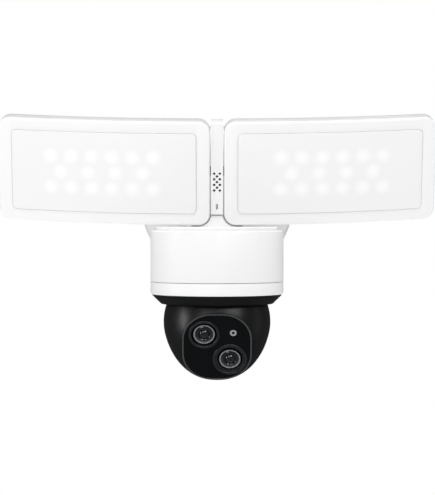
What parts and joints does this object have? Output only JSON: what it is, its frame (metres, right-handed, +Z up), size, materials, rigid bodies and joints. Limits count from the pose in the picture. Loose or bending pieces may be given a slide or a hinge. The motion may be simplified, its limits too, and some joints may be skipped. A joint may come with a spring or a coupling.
{
  "type": "floodlight security camera",
  "caption": "Wall-mounted security camera with two curved floodlight panels above a drum that pans and a ball head that tilts a wide and a telephoto lens.",
  "frame": {"origin": "middle of the mounting plate's back, on the wall face", "axes": "+Z up, -Y is the way the camera looks, +X to the right as seen from in front"},
  "size_m": [0.356, 0.1695, 0.2148],
  "materials": {
    "white_paint": "satin powder coat",
    "white_plastic": "fine matt moulding",
    "black_plastic": "fine matt moulding",
    "black_gloss": "polished",
    "opal_plastic": "satin diffuser",
    "lens_glass": "coated glass",
    "lens_ring": "polished black",
    "lens_barrel": "black anodised",
    "grey_plastic": "matt",
    "zinc_steel": "zinc plated",
    "raw_aluminium": "milled",
    "brass": "machined",
    "silicone": "matt",
    "foam_gasket": "closed-cell foam",
    "circuit_board": "solder mask",
    "white_board": "white solder mask",
    "led_package": "phosphor",
    "black_part": "moulded",
    "nylon": "moulded",
    "speaker_grey": "pressed mesh"
  },
  "bodies": {
    "base": {"wall_gasket": "foam_gasket", "base_housing": "white_paint", "mounting_plate": "zinc_steel", "base_screws": "zinc_steel", "cable_grommet": "silicone", "terminal_block": "nylon", "ground_screw": "brass", "arm_housing": "white_paint", "housing_screws": "zinc_steel", "spine_housing": "white_plastic", "grille_strip": "white_plastic", "speaker_mesh": "speaker_grey", "speaker": "black_part", "power_board": "circuit_board", "transformer": "black_part", "capacitors": "black_part", "pivot_tube": "zinc_steel", "friction_washers": "zinc_steel", "pivot_nuts": "brass", "drum_housing": "white_plastic", "drum_ring": "white_plastic", "bearing_ring": "nylon", "thrust_washer": "nylon", "main_board": "circuit_board", "processor_shield": "zinc_steel", "pan_motor": "zinc_steel"},
    "turntable": {"turntable": "black_plastic", "pan_gear": "nylon", "collar": "black_plastic", "yoke": "raw_aluminium", "tilt_axle": "zinc_steel", "tilt_gear": "nylon"},
    "ball": {"ball_rear_shell": "black_plastic", "ball_front_shell": "black_plastic", "face_plate": "black_gloss", "lens_rings": "lens_ring", "lens_barrels": "lens_barrel", "lens_glasses": "lens_glass", "light_sensor": "grey_plastic", "sensor_board": "circuit_board", "tilt_motor": "zinc_steel"},
    "pan_pinion": {"pan_pinion": "nylon"},
    "tilt_pinion": {"tilt_pinion": "brass"},
    "setup_button": {"setup_button": "grey_plastic"},
    "left_panel": {"left_bezel": "white_plastic", "left_diffuser": "opal_plastic", "left_panel_seal": "silicone", "left_rear_shell": "white_paint", "left_led_board": "white_board", "left_leds": "led_package", "left_panel_screws": "zinc_steel", "left_hinge_block": "raw_aluminium"},
    "right_panel": {"right_bezel": "white_plastic", "right_diffuser": "opal_plastic", "right_panel_seal": "silicone", "right_rear_shell": "white_paint", "right_led_board": "white_board", "right_leds": "led_package", "right_panel_screws": "zinc_steel", "right_hinge_block": "raw_aluminium"}
  },
  "joints": [
    {"name": "left_panel_tilt", "type": "hinge", "parent": "base", "child": "left_panel", "pos_m": [0, -0.1078, 0.0241], "axis": [1, 0, 0], "range_deg": [-12, 12]},
    {"name": "right_panel_tilt", "type": "hinge", "parent": "base", "child": "right_panel", "pos_m": [0, -0.1078, 0.0241], "axis": [1, 0, 0], "range_deg": [-12, 12]},
    {"name": "pan", "type": "hinge", "parent": "base", "child": "turntable", "pos_m": [0, -0.116, -0.0972], "axis": [0, 0, 1], "range_deg": [-175, 175]},
    {"name": "tilt", "type": "hinge", "parent": "turntable", "child": "ball", "pos_m": [0, -0.116, -0.0972], "axis": [1, 0, 0], "range_deg": [-25, 36]},
    {"name": "pan_pinion_spin", "type": "hinge", "parent": "base", "child": "pan_pinion", "pos_m": [0, -0.08, -0.0462], "axis": [0, 0, 1], "range_deg": [-900, 900]},
    {"name": "tilt_pinion_spin", "type": "hinge", "parent": "ball", "child": "tilt_pinion", "pos_m": [0, -0.09969, -0.10481], "axis": [1, 0, 0], "range_deg": [-120, 120]},
    {"name": "setup_button_press", "type": "slide", "parent": "base", "child": "setup_button", "axis": [-0.6691, -0.7431, 0], "range_m": [0, 0.001], "stiffness_N_per_m": 400, "springref_m": -0.0005}
  ],
  "couplings": [
    {"joint": "pan_pinion_spin", "follows": "pan", "ratio": -5},
    {"joint": "tilt_pinion_spin", "follows": "tilt", "ratio": 3}
  ]
}
